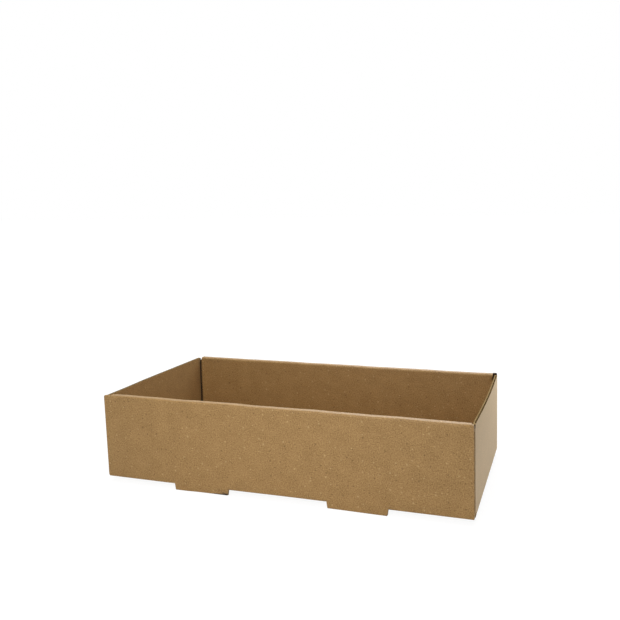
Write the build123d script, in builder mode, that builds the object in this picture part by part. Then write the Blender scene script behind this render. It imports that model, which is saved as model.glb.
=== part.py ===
"""Open tray folded from one die-cut blank of brown single-wall corrugated board.

The base carries two end walls of one thickness, cut raw at the top, and two long
walls that roll over a flap at each corner and lock into the base. Each long wall
stands on two feet that are cut out of the base and stay in the wall's own plane.

Millimetres. X runs along the long walls, Y from the front wall to the rear wall,
Z up. The origin is on the ground, under the middle of the tray.
"""

import os
from math import atan2, degrees, tan

from build123d import *

# Overall size
tray_length = 366.0  # outside of one end wall to outside of the other
tray_width = 207.0  # outside of the front wall to outside of the rear wall
wall_height = 84.0  # underside of the base to the top of a rolled wall

# The board and how it folds
board = 2.7  # two flat liners with a fluted paper between them
fold_radius = 2.0  # outside of every fold
inner_fold_radius = 0.4  # inside of every fold
layer_gap = 0.2  # between layers that lie on each other

# Feet, and the slots that they leave in the base
foot_drop = 5.5  # below the underside of the base
foot_root_width = 57.5
foot_tip_width = 56.0
foot_spacing = 156.5  # middle to middle
foot_corner_radius = 0.7

# Long walls
outer_panel_setback = 0.5  # raw end of an outer panel, short of the end wall's face
base_fold_setback = 0.9  # end of the fold under it, short of the same face
outer_corner_radius = 1.8
inner_panel_gap = 2.5  # raw end of a rolled strip to the end wall, if it lay in the middle
front_roll_drift = 2.3  # how far a rolled strip lies towards +X of the middle
rear_roll_drift = 0.5
inner_corner_cut = 3.0  # off the lower corners of an inner panel
lock_clearance = 3.2  # either side of a lock tab in its slot, if it lay in the middle
lock_corner_radius = 1.2
slot_clearance = 0.3  # behind a lock tab

# End walls and their corner flaps
end_wall_step = 1.0  # raw top of an end wall, below the top of the roll
end_wall_corner_radius = 2.0
flap_length = 70.0
flap_top_drop = 4.0  # top of a flap, below the top of the roll
flap_lift = 1.0  # foot of a flap, above the base
flap_taper = 5.0  # what is cut off the free end of a flap, above and below

# Flutes run along X in the flat blank and show at the edges cut across them
paper = 0.3
flute_pitch = 6.3
flute_crest = 1.2  # fluted paper glued flat to a liner at each crest
flute_mouth_depth = 6.0

# Levels
base_underside = foot_drop
base_top = base_underside + board
roll_top = base_underside + wall_height
end_wall_top = roll_top - end_wall_step
flap_foot = base_top + flap_lift
flap_top = roll_top - flap_top_drop
fold_leg = board + fold_radius  # how far the section of a fold reaches along a panel

# Faces of the layers of a long wall, measured in from its outer face
flap_face = board + layer_gap
inner_panel_face = flap_face + board + layer_gap
roll_depth = inner_panel_face + board

# Half sizes
half_length = tray_length / 2
half_width = tray_width / 2
outer_panel_half = half_length - outer_panel_setback
base_fold_half = half_length - base_fold_setback
rolled_half = half_length - board - inner_panel_gap
end_wall_half = half_width - flap_face - fold_radius


def channel_section(width, height):
    """Section of a strip folded up along both sides, standing on the X axis."""
    with BuildSketch() as section:
        Rectangle(width, height, align=(Align.CENTER, Align.MIN))
        with Locations((0, board)):
            Rectangle(
                width - 2 * board,
                height,
                align=(Align.CENTER, Align.MIN),
                mode=Mode.SUBTRACT,
            )
        fillet(section.vertices().group_by(Axis.Y)[0], fold_radius)
        inner_corners = section.vertices().filter_by_position(Axis.Y, board, board)
        fillet(inner_corners.group_by(lambda v: abs(v.X))[0], inner_fold_radius)
    return section.sketch


def corner_section():
    """Section of the upright fold at the front right corner, its outer corner at the origin."""
    with BuildSketch() as section:
        Rectangle(fold_leg, fold_leg, align=(Align.MAX, Align.MIN))
        with Locations((-board, board)):
            Rectangle(fold_leg, fold_leg, align=(Align.MAX, Align.MIN), mode=Mode.SUBTRACT)
        fillet(section.vertices().sort_by_distance((0, 0, 0))[0], fold_radius)
        fillet(section.vertices().sort_by_distance((-board, board, 0))[0], inner_fold_radius)
    return section.sketch


def flute_mouths(run):
    """Open ends of the flutes along a raw edge of this length, about the middle of the board."""
    mouth_height = board - 3 * paper
    web_run = flute_pitch / 2 - flute_crest
    web_angle = atan2(mouth_height, web_run)
    mouth_width = flute_crest - paper * tan(web_angle / 2) + 2 * web_run
    count = int(run / flute_pitch)
    with BuildSketch() as mouths:
        with Locations((0, -paper / 2)):
            with GridLocations(flute_pitch, 0, count, 1):
                Trapezoid(mouth_width, mouth_height, degrees(web_angle))
        with Locations((0, paper / 2)):
            with GridLocations(flute_pitch, 0, count - 1, 1):
                Trapezoid(mouth_width, mouth_height, degrees(web_angle), rotation=180)
    return mouths.sketch


with BuildPart() as folded_tray:
    # Base with the fold along each long side
    with BuildSketch(Plane.YZ):
        with Locations((0, base_underside)):
            add(channel_section(tray_width, fold_leg))
    extrude(amount=base_fold_half, both=True)

    # It stops where the folds of the end walls begin
    with BuildSketch(Plane.XY.offset(base_underside)):
        with Locations((-half_length, 0), (half_length, 0)):
            Rectangle(2 * fold_radius, 2 * end_wall_half)
    extrude(amount=board, mode=Mode.SUBTRACT)

    # Base with the fold along each end
    with BuildSketch(Plane.XZ):
        with Locations((0, base_underside)):
            add(channel_section(tray_length, fold_leg))
    extrude(amount=end_wall_half, both=True)

    # Slots left in the base where the feet are cut out, wide enough for the lock tabs
    slot_depth = roll_depth + slot_clearance
    with BuildSketch(Plane.XY.offset(base_underside)):
        with GridLocations(foot_spacing, 0, 2, 1):
            Polygon(
                (-foot_root_width / 2, -tray_width),
                (foot_root_width / 2, -tray_width),
                (foot_root_width / 2, board - half_width),
                (foot_tip_width / 2, slot_depth - half_width),
                (-foot_tip_width / 2, slot_depth - half_width),
                (-foot_root_width / 2, board - half_width),
                align=None,
            )
        mirror(about=Plane.XZ)
    extrude(amount=board + inner_fold_radius, mode=Mode.SUBTRACT)

    # Outer panels of the long walls, raw at both ends, with their feet
    panel_foot = base_underside + fold_radius
    panel_top = roll_top - fold_radius
    for wall_plane, roll_drift in (
        (Plane.XZ.offset(half_width), front_roll_drift),
        (Plane.XZ.offset(board - half_width), rear_roll_drift),
    ):
        with BuildSketch(wall_plane) as outer_panel:
            with Locations((0, panel_foot)):
                Rectangle(
                    2 * outer_panel_half,
                    roll_top - panel_foot,
                    align=(Align.CENTER, Align.MIN),
                )
            fillet(outer_panel.vertices().group_by(Axis.Y)[-1], outer_corner_radius)
            with Locations((roll_drift, panel_top)):
                Rectangle(
                    2 * rolled_half,
                    fold_radius,
                    align=(Align.CENTER, Align.MIN),
                    mode=Mode.SUBTRACT,
                )
            with GridLocations(foot_spacing, 0, 2, 1):
                Polygon(
                    (-foot_tip_width / 2, 0),
                    (foot_tip_width / 2, 0),
                    (foot_root_width / 2, base_underside),
                    (foot_root_width / 2, panel_foot),
                    (-foot_root_width / 2, panel_foot),
                    (-foot_root_width / 2, base_underside),
                    align=None,
                )
            fillet(outer_panel.vertices().group_by(Axis.Y)[0], foot_corner_radius)
        extrude(amount=-board)

    # Rolls over the tops of the long walls, each a strip between two folds
    roll_middle = half_width - roll_depth / 2
    for wall_side, roll_drift in ((-1, front_roll_drift), (1, rear_roll_drift)):
        with BuildSketch(Plane.YZ.offset(roll_drift)):
            with Locations((wall_side * roll_middle, roll_top)):
                add(channel_section(roll_depth, fold_leg), rotation=180)
        extrude(amount=rolled_half, both=True)

    # Inner panels, which stand on the base with their lock tabs down in the slots
    inner_foot = base_top + layer_gap
    for wall_plane, roll_drift in (
        (Plane.XZ.offset(half_width - inner_panel_face), front_roll_drift),
        (Plane.XZ.offset(roll_depth - half_width), rear_roll_drift),
    ):
        with BuildSketch(wall_plane) as inner_panel:
            with Locations((roll_drift, inner_foot)):
                Rectangle(2 * rolled_half, panel_top - inner_foot, align=(Align.CENTER, Align.MIN))
            chamfer(inner_panel.vertices().group_by(Axis.Y)[0], inner_corner_cut)
            with Locations((roll_drift, inner_foot)):
                with GridLocations(foot_spacing, 0, 2, 1):
                    Rectangle(
                        foot_tip_width - 2 * lock_clearance,
                        inner_foot - base_underside,
                        align=(Align.CENTER, Align.MAX),
                    )
            fillet(inner_panel.vertices().group_by(Axis.Y)[0], lock_corner_radius)
        extrude(amount=-board)

    # End walls, one board thick
    with BuildSketch(
        Plane.YZ.offset(-half_length), Plane.YZ.offset(half_length - board)
    ) as end_walls:
        with Locations((0, panel_foot)):
            Rectangle(2 * end_wall_half, end_wall_top - panel_foot, align=(Align.CENTER, Align.MIN))
        fillet(end_walls.vertices().group_by(Axis.Y)[-1], end_wall_corner_radius)
    extrude(amount=board)

    # Upright folds at the corners, from an end wall into its flaps
    with BuildSketch(Plane.XY.offset(flap_foot)):
        with Locations((half_length, flap_face - half_width)):
            add(corner_section())
        mirror(about=Plane.YZ)
        mirror(about=Plane.XZ)
    extrude(amount=flap_top - flap_foot)

    # Corner flaps, held between the layers of the long walls
    with BuildSketch(
        Plane.XZ.offset(half_width - flap_face), Plane.XZ.offset(flap_face + board - half_width)
    ):
        Polygon(
            (half_length - fold_leg, flap_foot),
            (half_length - fold_leg, flap_top),
            (half_length - flap_length, flap_top - flap_taper),
            (half_length - flap_length, flap_foot + flap_taper),
            align=None,
        )
        mirror(about=Plane.YZ)
    extrude(amount=-board)

    # Open flutes along the raw tops of the end walls
    with BuildSketch(Plane.XY.offset(end_wall_top)):
        with Locations((board / 2 - half_length, 0), (half_length - board / 2, 0)):
            add(flute_mouths(2 * (end_wall_half - end_wall_corner_radius)), rotation=90)
    extrude(amount=-flute_mouth_depth, mode=Mode.SUBTRACT)

    # Open flutes in the raw ends of the outer panels
    with BuildSketch(
        Plane.YZ.offset(-outer_panel_half), Plane.YZ.offset(outer_panel_half - flute_mouth_depth)
    ):
        middle = (panel_foot + panel_top) / 2
        with Locations((board / 2 - half_width, middle), (half_width - board / 2, middle)):
            add(flute_mouths(panel_top - panel_foot), rotation=90)
    extrude(amount=flute_mouth_depth, mode=Mode.SUBTRACT)

folded_tray.part.label = "folded_tray"
os.makedirs("parts", exist_ok=True)
export_step(folded_tray.part, "parts/folded_tray.step")
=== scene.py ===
import math

import bmesh
import bpy
from mathutils import Matrix, Vector


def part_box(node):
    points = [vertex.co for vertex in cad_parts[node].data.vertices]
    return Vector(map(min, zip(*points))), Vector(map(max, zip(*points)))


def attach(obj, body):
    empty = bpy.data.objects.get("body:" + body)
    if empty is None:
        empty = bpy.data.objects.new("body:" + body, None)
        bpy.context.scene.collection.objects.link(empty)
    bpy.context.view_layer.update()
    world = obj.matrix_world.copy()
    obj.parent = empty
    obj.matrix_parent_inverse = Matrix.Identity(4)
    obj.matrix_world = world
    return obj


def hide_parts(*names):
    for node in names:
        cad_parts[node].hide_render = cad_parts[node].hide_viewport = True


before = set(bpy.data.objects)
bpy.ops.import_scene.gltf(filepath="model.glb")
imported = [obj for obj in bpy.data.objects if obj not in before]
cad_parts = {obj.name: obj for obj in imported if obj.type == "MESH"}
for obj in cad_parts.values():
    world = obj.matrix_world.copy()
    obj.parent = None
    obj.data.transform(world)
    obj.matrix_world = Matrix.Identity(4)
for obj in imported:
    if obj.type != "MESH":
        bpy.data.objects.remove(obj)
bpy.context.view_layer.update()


# The folded board
# The whole tray is one die-cut blank of brown single-wall corrugated board, creased
# and folded by hand. The blank keeps its true form from the CAD solid. Here it gets
# the slight give of folded board: walls that bow, ridges that wander, uneven ends.
MM = 0.001
BOARD = 2.7 * MM
PAPER = 0.3 * MM  # each of the three papers in the board
FOOT_DROP = 5.5 * MM  # from the base down to the ground
ROLL_DEPTH = 8.5 * MM  # of a rolled long wall, from its outer face to its inner one
END_WALL_STEP = 1.0 * MM  # from the top of a roll down to the raw top of an end wall

half_length, half_width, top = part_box("folded_tray")[1]
base_top = FOOT_DROP + BOARD
end_wall_top = top - END_WALL_STEP

# Each bend below has its size, and the places from which and up to which it grows
LEAN = 1.95 * MM  # of the top over the bottom, towards the left end
REAR_FLARE = 2.5 * MM  # of the rear wall's top, out over its foot
WALL_HEIGHT = (base_top, top)

LONG_WALL = (half_width - 2 * ROLL_DEPTH, half_width - ROLL_DEPTH)
LONG_BOW = 0.55 * MM  # of a long wall's top inwards, halfway along
RIPPLE = 0.16 * MM  # either side of that bow
WANDER, FLUTTER = 0.17 * MM, 0.11 * MM  # of a ridge up and down, in long and short waves
RIPPLE_WAVE = (9, 2)  # radians for half the length, and for half the width
WANDER_WAVE = (13, 1)
FLUTTER_WAVE = (29, -2)
FRONT_SETTLE = 0.35 * MM  # of the whole front ridge downwards
REAR_SETTLE = 0.2 * MM  # of the rear ridge's right end downwards
RIDGE_HEIGHT = (0.6 * top, top)

END_WALL = (half_length - 4 * BOARD, half_length - 2 * BOARD)
END_BOW = 1.75 * MM  # of the right end wall's top outwards, halfway across
CRUSH = 0.9 * MM  # of the flutes in a raw top, towards the outer liner
RIM = 1.5 * MM  # how far down the crushed part of a raw top reaches
LEFT_DIP = 0.6 * MM  # of the left end wall's raw top
LEFT_DIP_HEIGHT = (0.5 * top, top)
LEFT_DIP_FRONT = (0.2, 0.7)  # shares of the half width, towards the front

CORNER_DEPTH = 1.1 * BOARD  # of a damaged corner, in from the rear wall's outer face
CORNER_DROP = 4.5 * MM  # of the left one, which is pushed down
DROPPED_END = (half_length - 5.0 * MM, half_length - 3.0 * MM)
DROPPED_HEIGHT = (top - 8.0 * MM, top)

SHORT_FOOT = 0.5 * MM  # off the front left foot
SHORT_FOOT_END = (-100 * MM, -75 * MM)
SAG = 0.7 * MM  # of the base, in its middle
SAG_HEIGHT = (base_top, 3 * base_top)
LIFT = 0.35 * MM  # of the base's front edge, between the feet
LIFT_HEIGHT = (base_top, 4 * base_top)
LIFT_BEGINS, LIFT_ENDS = (-0.35, 0.1), (0.3, 0.55)  # shares of the half length
LIFT_FRONT = (0.8, 1.0)


def ease(value, start, end):
    """0 before start, 1 after end, and a smooth slope between them."""
    share = min(1.0, max(0.0, (value - start) / (end - start)))
    return share * share * (3 - 2 * share)


def wave(along, across, radians):
    """A wave along a long wall, shifted so that the front and the rear one differ."""
    return math.sin(radians[0] * along + radians[1] * across)


def give(place):
    """How far hand-folded board stands from its nominal place at this point."""
    x, y, z = place
    height = ease(z, *WALL_HEIGHT)
    along = x / half_length
    across = y / half_width
    shift = Vector()

    # Nothing braces the tray lengthwise, so it leans a little to its left. It is drawn
    # in where it would stand out past its nominal length.
    rise = z / top
    shift.x += LEAN / 2 * ((1 - rise) * (1 - along) - rise * (1 + along))

    # The rear wall's foot stands further in than its top
    shift.y -= REAR_FLARE * (1 - rise) * (1 + across) / 2

    # Long walls bow in a little between the end walls, most at the top
    wall = ease(abs(y), *LONG_WALL)
    bow = LONG_BOW * (1 - along ** 2) + RIPPLE * wave(along, across, RIPPLE_WAVE)
    shift.y -= math.copysign(wall * height * max(0.0, bow), y)

    # The rolled ridges wander up and down
    wander = WANDER * wave(along, across, WANDER_WAVE)
    wander += FLUTTER * wave(along, across, FLUTTER_WAVE)
    settled = FRONT_SETTLE if y < 0 else REAR_SETTLE * along
    shift.z += wall * ease(z, *RIDGE_HEIGHT) * min(0.0, wander - settled)

    # The right end wall bows out between its corners
    shift.x += ease(x, *END_WALL) * height * END_BOW * (1 - across ** 2)

    # The die crushes the raw tops of the end walls: the flutes give way towards the
    # outer liner, and the edge of the inner liner spreads over them
    depth = half_length - abs(x)
    if depth < BOARD - PAPER / 2:
        crush = ease(z, end_wall_top - RIM, end_wall_top) * ease(depth, PAPER, BOARD - PAPER)
        shift.x += math.copysign(crush * CRUSH, x)

    # The rear wall's left corner is pushed down
    if y > half_width - CORNER_DEPTH:
        shift.z -= ease(-x, *DROPPED_END) * ease(z, *DROPPED_HEIGHT) * CORNER_DROP

    # The left end wall's raw top dips towards the front
    dip = ease(-x, *END_WALL) * ease(z, *LEFT_DIP_HEIGHT) * ease(-across, *LEFT_DIP_FRONT)
    shift.z -= dip * (1 - wall) * LEFT_DIP

    # The front left foot is cut a little short at its right end
    if y < BOARD - half_width and x < 0:
        shift.z += (1 - ease(z, 0.0, FOOT_DROP)) * ease(x, *SHORT_FOOT_END) * SHORT_FOOT

    # The base sags between the feet, and its front edge lifts between them
    middle = (1 - along ** 2) * (1 - across ** 2) * (1 - wall)
    shift.z -= (1 - ease(z, *SAG_HEIGHT)) * middle * SAG
    lifted = ease(along, *LIFT_BEGINS) * (1 - ease(along, *LIFT_ENDS))
    shift.z += (1 - ease(z, *LIFT_HEIGHT)) * lifted * ease(-across, *LIFT_FRONT) * LIFT
    return shift


WELD = 0.002 * MM  # points nearer to each other than this are one
sheet = bmesh.new()
sheet.from_mesh(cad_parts["folded_tray"].data)
bmesh.ops.remove_doubles(sheet, verts=sheet.verts, dist=WELD)

# Cuts across the flat panels, so that they have points to bend at
CELL = 11.0 * MM
for axis, reach in enumerate((half_length, half_width, top)):
    normal = Vector((axis == 0, axis == 1, axis == 2))
    start = -reach if axis < 2 else 0.0
    count = round((reach - start) / CELL)
    levels = [start + (reach - start) * step / count for step in range(1, count)]
    if axis == 2:
        levels.append(end_wall_top - RIM)
    for level in levels:
        bmesh.ops.bisect_plane(
            sheet,
            geom=sheet.verts[:] + sheet.edges[:] + sheet.faces[:],
            plane_co=normal * level,
            plane_no=normal,
            dist=WELD,
        )

# The two liners are what can be reached from the base without crossing a cut edge
CUT_ANGLE = math.radians(60)
LEVEL = 0.999  # the upward or downward part of a level face's normal
BASE_PIECE = (4.0 * MM) ** 2  # more than any level face of a cut edge
TOUCH = 0.1 * MM  # nearer to a level than this counts as at it


def on_base(face):
    """Whether this is a face of the base panel itself, above or below."""
    low = face.calc_center_median().z < base_top + TOUCH
    return low and abs(face.normal.z) > LEVEL and face.calc_area() > BASE_PIECE


liner = {face for face in sheet.faces if on_base(face)}
reached = list(liner)
while reached:
    for edge in reached.pop().edges:
        if len(edge.link_faces) != 2 or edge.calc_face_angle() > CUT_ANGLE:
            continue
        for face in edge.link_faces:
            if face not in liner:
                liner.add(face)
                reached.append(face)

LINER_EDGE = 0.8 * PAPER  # this far in from a liner's face is still that liner
MOUTHS = top - 12.0 * MM  # all flute mouths in the raw tops lie above this
# Painted shade: faces in the rear wall's right corner past the roll's end take the dark
# fluting tones; the outer face keeps its liner colour
SHADED_CORNER_LENGTH = 4.8 * MM  # from the right end
SHADED_CORNER_SIDE = 0.5  # the outer face, whose normal has more of y than this, stays whole


def in_flute(face):
    """Whether this is a wall of a flute mouth, between the liners and below the edge."""
    centre = face.calc_center_median()
    between = LINER_EDGE < half_length - abs(centre.x) < BOARD - LINER_EDGE
    return between and MOUTHS < centre.z < end_wall_top - TOUCH


def shaded_corner(face):
    """Whether this is in the rear wall's right corner past the roll's end, where shade is
    painted dark.
    """
    x, y, z = face.calc_center_median()
    corner = x > half_length - SHADED_CORNER_LENGTH and y > half_width - CORNER_DEPTH
    return corner and z > end_wall_top - RIM and face.normal.y < SHADED_CORNER_SIDE


# The papers, and a layout in which their patterns lie flat on each panel
LINER, CUT, FLUTE = 0, 1, 2  # in the order in which their materials follow below
layout = sheet.loops.layers.uv.new("blank")
for face in sheet.faces:
    # The dark fluting tones in that corner are painted shade
    if shaded_corner(face):
        face.material_index = FLUTE
    elif face in liner:
        face.material_index = LINER
    else:
        face.material_index = FLUTE if in_flute(face) else CUT
    face.smooth = True
    normal = face.normal
    for loop in face.loops:
        x, y, z = loop.vert.co
        if abs(normal.x) > max(abs(normal.y), abs(normal.z)):
            loop[layout].uv = (z, y)
        elif abs(normal.y) > abs(normal.z):
            loop[layout].uv = (x, z)
        else:
            loop[layout].uv = (x, y)

for vert in sheet.verts:
    vert.co += give(vert.co)

mesh = bpy.data.meshes.new("folded_board")
sheet.to_mesh(mesh)
sheet.free()
mesh.set_sharp_from_angle(angle=CUT_ANGLE / 2)
folded_board = bpy.data.objects.new("folded_board", mesh)
bpy.context.scene.collection.objects.link(folded_board)
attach(folded_board, "root")
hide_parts("folded_tray")


# Kraft liner
# Unbleached kraft linerboard, the brown paper on both faces of the board. It is matt
# and slightly calendered, with a faintly cloudy formation, a fine grain of fibres, and
# a few light and dark specks from recycled pulp.
CLOUD = 14.0 * MM
GRAIN = 1.1 * MM
FIBRE_LENGTH = 3.0 * MM
FIBRE_WIDTH = 0.7 * MM  # a real one is 0.04 mm wide, too fine to show
FIBRE_SHARE = 0.25  # of the fibres against the grain
CLOUD_SHARE = 0.15  # of the clouds against both
SPECK_CELL = 5.0 * MM  # spacing of the cells that can hold one speck each
SPECK_SIZE = 0.5 * MM  # from the middle of the smallest speck to its edge
SPECK_SPREAD = 0.8 * MM  # what the largest speck has over that
SPECKLED = 0.16  # share of the cells with a dark speck, and as many with a light one
SPECK_STRENGTH = 0.6  # how much of its own tone a speck shows in its middle
KRAFT_TONES = {0.3: "#70522D", 0.7: "#BC9762"}  # at a low and a high value of the mottle
DARK_SPECK, LIGHT_SPECK = "#4A3320", "#D0B37E"
# Painted shade: in narrow gaps between the folded layers the colours turn to a near-black tone
GAP_DEPTH = 8.0 * MM
PAINTED_GAP_SHADE = "#160D04"
GAP_CLOSED, GAP_OPEN = 0.32, 0.55  # openness at which a gap is dark, and no gap at all


def colour(hex_code):
    """An sRGB hex colour as the linear colour that a shader takes."""
    parts = [int(hex_code[i:i + 2], 16) / 255 for i in (1, 3, 5)]
    return [p / 12.92 if p <= 0.04045 else ((p + 0.055) / 1.055) ** 2.4 for p in parts] + [1.0]


def add_node(tree, kind, inputs, **settings):
    """Adds a node, with its settings, and a value or a link for each input named."""
    node = tree.nodes.new(kind)
    for name, value in settings.items():
        setattr(node, name, value)
    for socket, value in inputs.items():
        if isinstance(value, bpy.types.NodeSocket):
            tree.links.new(value, node.inputs[socket])
        else:
            node.inputs[socket].default_value = value
    return node


def paint_gap_shade(tree, tone):
    """This tone, with shade painted into the narrow gaps between the layers, where little
    light gets.
    """
    nearby = add_node(tree, "ShaderNodeAmbientOcclusion", {"Distance": GAP_DEPTH}, samples=16)
    openness = add_node(tree, "ShaderNodeMapRange", {
        "Value": nearby.outputs["AO"], "From Min": GAP_CLOSED, "From Max": GAP_OPEN})
    return add_node(tree, "ShaderNodeMix", {
        0: openness.outputs["Result"], 6: colour(PAINTED_GAP_SHADE), 7: tone},
        data_type="RGBA").outputs[2]


kraft = bpy.data.materials.new("kraft_liner")
kraft.use_nodes = True
tree = kraft.node_tree
shader = tree.nodes["Principled BSDF"]

sheet_place = add_node(tree, "ShaderNodeUVMap", {}, uv_map="blank").outputs["UV"]
clouds = add_node(tree, "ShaderNodeTexNoise", {
    "Vector": sheet_place, "Scale": 1 / CLOUD, "Detail": 3.0, "Roughness": 0.6})
grain = add_node(tree, "ShaderNodeTexNoise", {
    "Vector": sheet_place, "Scale": 1 / GRAIN, "Detail": 2.0, "Roughness": 0.7})
stretch = add_node(tree, "ShaderNodeMapping", {
    "Vector": sheet_place, "Scale": (1 / FIBRE_WIDTH, 1 / FIBRE_LENGTH, 1.0)})
fibres = add_node(tree, "ShaderNodeTexNoise", {
    "Vector": stretch.outputs["Vector"], "Scale": 1.0, "Detail": 2.0, "Roughness": 0.6})
mottle = add_node(tree, "ShaderNodeMix", {
    0: FIBRE_SHARE, 2: grain.outputs["Fac"], 3: fibres.outputs["Fac"]}, data_type="FLOAT")
mottle = add_node(tree, "ShaderNodeMix", {
    0: CLOUD_SHARE, 2: mottle.outputs[0], 3: clouds.outputs["Fac"]}, data_type="FLOAT")
tones = add_node(tree, "ShaderNodeValToRGB", {"Fac": mottle.outputs[0]})
for stop, (value, tone) in zip(tones.color_ramp.elements, KRAFT_TONES.items()):
    stop.position = value
    stop.color = colour(tone)

# Specks: a dot in the middle of some cells, dark in a few and light in others
cells = add_node(tree, "ShaderNodeTexVoronoi", {
    "Vector": sheet_place, "Scale": 1 / SPECK_CELL}, voronoi_dimensions="2D")
chance = add_node(tree, "ShaderNodeSeparateColor", {"Color": cells.outputs["Color"]})
size = add_node(tree, "ShaderNodeMath", {
    0: chance.outputs["Green"], 1: SPECK_SPREAD / SPECK_CELL, 2: SPECK_SIZE / SPECK_CELL},
    operation="MULTIPLY_ADD")
dot = add_node(tree, "ShaderNodeMapRange", {
    "Value": cells.outputs["Distance"], "From Min": 0.0, "From Max": size.outputs[0],
    "To Min": 1.0, "To Max": 0.0})
paper_tone = tones.outputs["Color"]
for tone, bound, test in (
    (DARK_SPECK, SPECKLED, "LESS_THAN"),
    (LIGHT_SPECK, 1 - SPECKLED, "GREATER_THAN"),
):
    chosen = add_node(tree, "ShaderNodeMath", {
        0: chance.outputs["Red"], 1: bound}, operation=test)
    speck = add_node(tree, "ShaderNodeMath", {
        0: chosen.outputs[0], 1: dot.outputs[0]}, operation="MULTIPLY")
    cover = add_node(tree, "ShaderNodeMath", {
        0: speck.outputs[0], 1: SPECK_STRENGTH}, operation="MULTIPLY")
    paper_tone = add_node(tree, "ShaderNodeMix", {
        0: cover.outputs[0], 6: paper_tone, 7: colour(tone)},
        data_type="RGBA").outputs[2]

# The liner's colour gets painted shade in the gaps between the layers
tree.links.new(paint_gap_shade(tree, paper_tone), shader.inputs["Base Color"])
shader.inputs["Roughness"].default_value = 0.5
shader.inputs["IOR"].default_value = 1.3
# Loose fibres catch the light where the paper is seen at a low angle
shader.inputs["Sheen Weight"].default_value = 0.7
shader.inputs["Sheen Roughness"].default_value = 0.3
shader.inputs["Sheen Tint"].default_value = colour("#FFE7BE")
bump = add_node(tree, "ShaderNodeBump", {
    "Height": fibres.outputs["Fac"], "Strength": 0.35, "Distance": 0.05 * MM})
tree.links.new(bump.outputs["Normal"], shader.inputs["Normal"])
mesh.materials.append(kraft)


# Cut board
# The raw edges that the die leaves show the two liners end on and the fluted paper
# between them, a softer and greyer recycled paper with a rough, torn surface.
NAP = 0.8 * MM
CUT_TONES = {0.3: "#66512F", 0.7: "#A3885A"}
cut = bpy.data.materials.new("cut_board")
cut.use_nodes = True
tree = cut.node_tree
shader = tree.nodes["Principled BSDF"]
spot = add_node(tree, "ShaderNodeTexCoord", {}).outputs["Object"]
nap = add_node(tree, "ShaderNodeTexNoise", {
    "Vector": spot, "Scale": 1 / NAP, "Detail": 3.0, "Roughness": 0.7})
tones = add_node(tree, "ShaderNodeValToRGB", {"Fac": nap.outputs["Fac"]})
for stop, (value, tone) in zip(tones.color_ramp.elements, CUT_TONES.items()):
    stop.position = value
    stop.color = colour(tone)
# The cut board's colour gets painted shade in the gaps between the layers
tree.links.new(paint_gap_shade(tree, tones.outputs["Color"]), shader.inputs["Base Color"])
shader.inputs["Roughness"].default_value = 0.9
shader.inputs["IOR"].default_value = 1.2
bump = add_node(tree, "ShaderNodeBump", {
    "Height": nap.outputs["Fac"], "Strength": 0.6, "Distance": 0.1 * MM})
tree.links.new(bump.outputs["Normal"], shader.inputs["Normal"])
mesh.materials.append(cut)


# Fluting paper
# The wavy paper between the liners is recycled and darker than they are. Its tones are
# painted darker still, as painted shade for the little light that gets down into its flutes.
PULP = 1.2 * MM
# Partly the paper's own darker tone, partly painted shade of the flute mouths
FLUTE_SHADE_TONES = {0.35: "#2B1C0C", 0.65: "#4A331C"}
fluting = bpy.data.materials.new("fluting_paper_painted_shade")
fluting.use_nodes = True
tree = fluting.node_tree
shader = tree.nodes["Principled BSDF"]
spot = add_node(tree, "ShaderNodeTexCoord", {}).outputs["Object"]
pulp = add_node(tree, "ShaderNodeTexNoise", {
    "Vector": spot, "Scale": 1 / PULP, "Detail": 2.0, "Roughness": 0.6})
tones = add_node(tree, "ShaderNodeValToRGB", {"Fac": pulp.outputs["Fac"]})
for stop, (value, tone) in zip(tones.color_ramp.elements, FLUTE_SHADE_TONES.items()):
    stop.position = value
    stop.color = colour(tone)
tree.links.new(tones.outputs["Color"], shader.inputs["Base Color"])
shader.inputs["Roughness"].default_value = 0.95
shader.inputs["IOR"].default_value = 1.2
mesh.materials.append(fluting)


# Floor
# A plain white studio floor. The camera sees it give off light just short of white,
# least near the tray, so that the tray's soft shadow still shows on it.
FLOOR_SIZE = 60.0  # metres
NEAR, FAR = 0.4, 1.2  # metres from the middle of the tray
NEAR_LIFT, FAR_LIFT = 0.93, 0.98  # of white, towards the camera and into reflections
BOUNCE_TONE, SEEN_TONE = "#ECECEC", "#696969"  # as it lights the tray, and as it is seen
floor_mesh = bpy.data.meshes.new("floor")
ground = bmesh.new()
bmesh.ops.create_grid(ground, x_segments=1, y_segments=1, size=FLOOR_SIZE / 2)
ground.to_mesh(floor_mesh)
ground.free()
floor = bpy.data.objects.new("floor", floor_mesh)
bpy.context.scene.collection.objects.link(floor)


def seen_directly(tree):
    """1 towards the camera and into reflections, and 0 towards what is lit."""
    rays = add_node(tree, "ShaderNodeLightPath", {})
    return add_node(tree, "ShaderNodeMath", {
        0: rays.outputs["Is Camera Ray"], 1: rays.outputs["Is Glossy Ray"]},
        operation="MAXIMUM").outputs[0]


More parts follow.
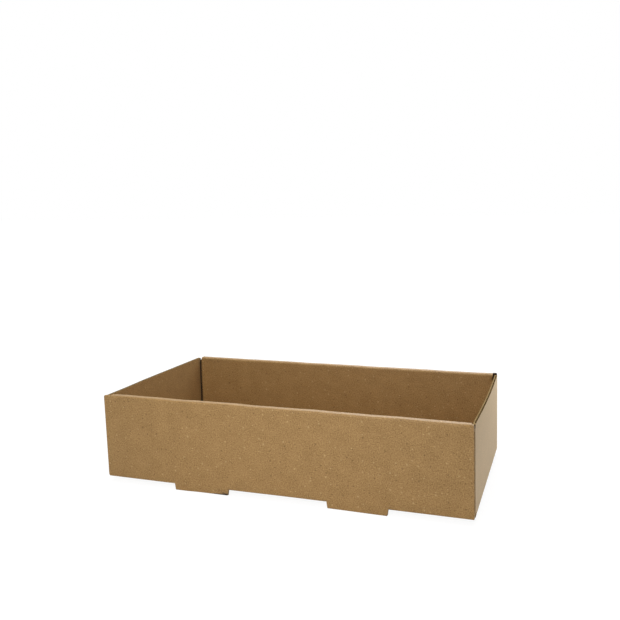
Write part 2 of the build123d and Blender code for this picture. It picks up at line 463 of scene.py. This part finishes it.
white_floor = bpy.data.materials.new("white_floor")
white_floor.use_nodes = True
tree = white_floor.node_tree
shader = tree.nodes["Principled BSDF"]
seen = seen_directly(tree)
spot = add_node(tree, "ShaderNodeTexCoord", {}).outputs["Object"]
distance = add_node(tree, "ShaderNodeVectorMath", {0: spot}, operation="LENGTH")
white = add_node(tree, "ShaderNodeMapRange", {
    "Value": distance.outputs["Value"], "From Min": NEAR, "From Max": FAR,
    "To Min": NEAR_LIFT, "To Max": FAR_LIFT})
lift = add_node(tree, "ShaderNodeMath", {
    0: seen, 1: white.outputs["Result"]}, operation="MULTIPLY")
lit = add_node(tree, "ShaderNodeMix", {
    0: seen, 6: colour(BOUNCE_TONE), 7: colour(SEEN_TONE)}, data_type="RGBA")
tree.links.new(lit.outputs[2], shader.inputs["Base Color"])
tree.links.new(lift.outputs[0], shader.inputs["Emission Strength"])
shader.inputs["Emission Color"].default_value = (1.0, 1.0, 1.0, 1.0)
shader.inputs["Roughness"].default_value = 1.0
shader.inputs["Specular IOR Level"].default_value = 0.0
floor_mesh.materials.append(white_floor)


# Studio light
# Three soft boxes: a large one above the tray, another above and behind it, and a
# smaller one in front, whose grid keeps most of its light in the middle. A plain
# surround fills the shadows, and is white to the camera and in reflections.
SURROUND, BACKDROP = 0.19, 1.0  # strength on the tray, and as it is seen
world = bpy.data.worlds.new("studio")
bpy.context.scene.world = world
world.use_nodes = True
tree = world.node_tree
background = tree.nodes["Background"]
strength = add_node(tree, "ShaderNodeMix", {
    0: seen_directly(tree), 2: SURROUND, 3: BACKDROP}, data_type="FLOAT")
tree.links.new(strength.outputs[0], background.inputs["Strength"])
background.inputs["Color"].default_value = (1.0, 1.0, 1.0, 1.0)

for name, place, size, spread, power in (
    ("top_soft_box", (0.0, 0.0, 1.0), 0.7, 180, 4.9),
    ("rear_soft_box", (0.0, 0.8, 0.8), 0.7, 180, 7.8),
    ("front_soft_box", (0.0, -0.55, 0.3), 0.4, 110, 0.745),
):
    lamp = bpy.data.lights.new(name, "AREA")
    lamp.shape = "SQUARE"
    lamp.size = size
    lamp.spread = math.radians(spread)
    lamp.energy = power
    soft_box = bpy.data.objects.new(name, lamp)
    soft_box.location = place
    soft_box.rotation_euler = (-Vector(place)).to_track_quat("-Z", "Y").to_euler()
    soft_box.visible_camera = False
    bpy.context.scene.collection.objects.link(soft_box)


# Camera
# In front of the tray, a little above it and to the right of its middle, at the
# viewing angle of the photograph.
IMAGE = 620  # pixels
FOCAL_PIXELS = 737.5
SENSOR = 36.0  # millimetres
STAND = Vector((251.4, -712.1, 267.8)) * MM
YAW, PITCH, ROLL = (math.radians(a) for a in (19.42, 7.6, -0.78))
camera_data = bpy.data.cameras.new("camera")
camera_data.sensor_width = SENSOR
camera_data.lens = FOCAL_PIXELS / IMAGE * SENSOR
camera_data.clip_start = 0.05
camera = bpy.data.objects.new("camera", camera_data)
camera.matrix_world = (
    Matrix.Translation(STAND)
    @ Matrix.Rotation(YAW, 4, "Z")
    @ Matrix.Rotation(math.pi / 2 - PITCH, 4, "X")
    @ Matrix.Rotation(ROLL, 4, "Z")
)
bpy.context.scene.collection.objects.link(camera)
bpy.context.scene.camera = camera
bpy.context.scene.view_settings.view_transform = "Standard"
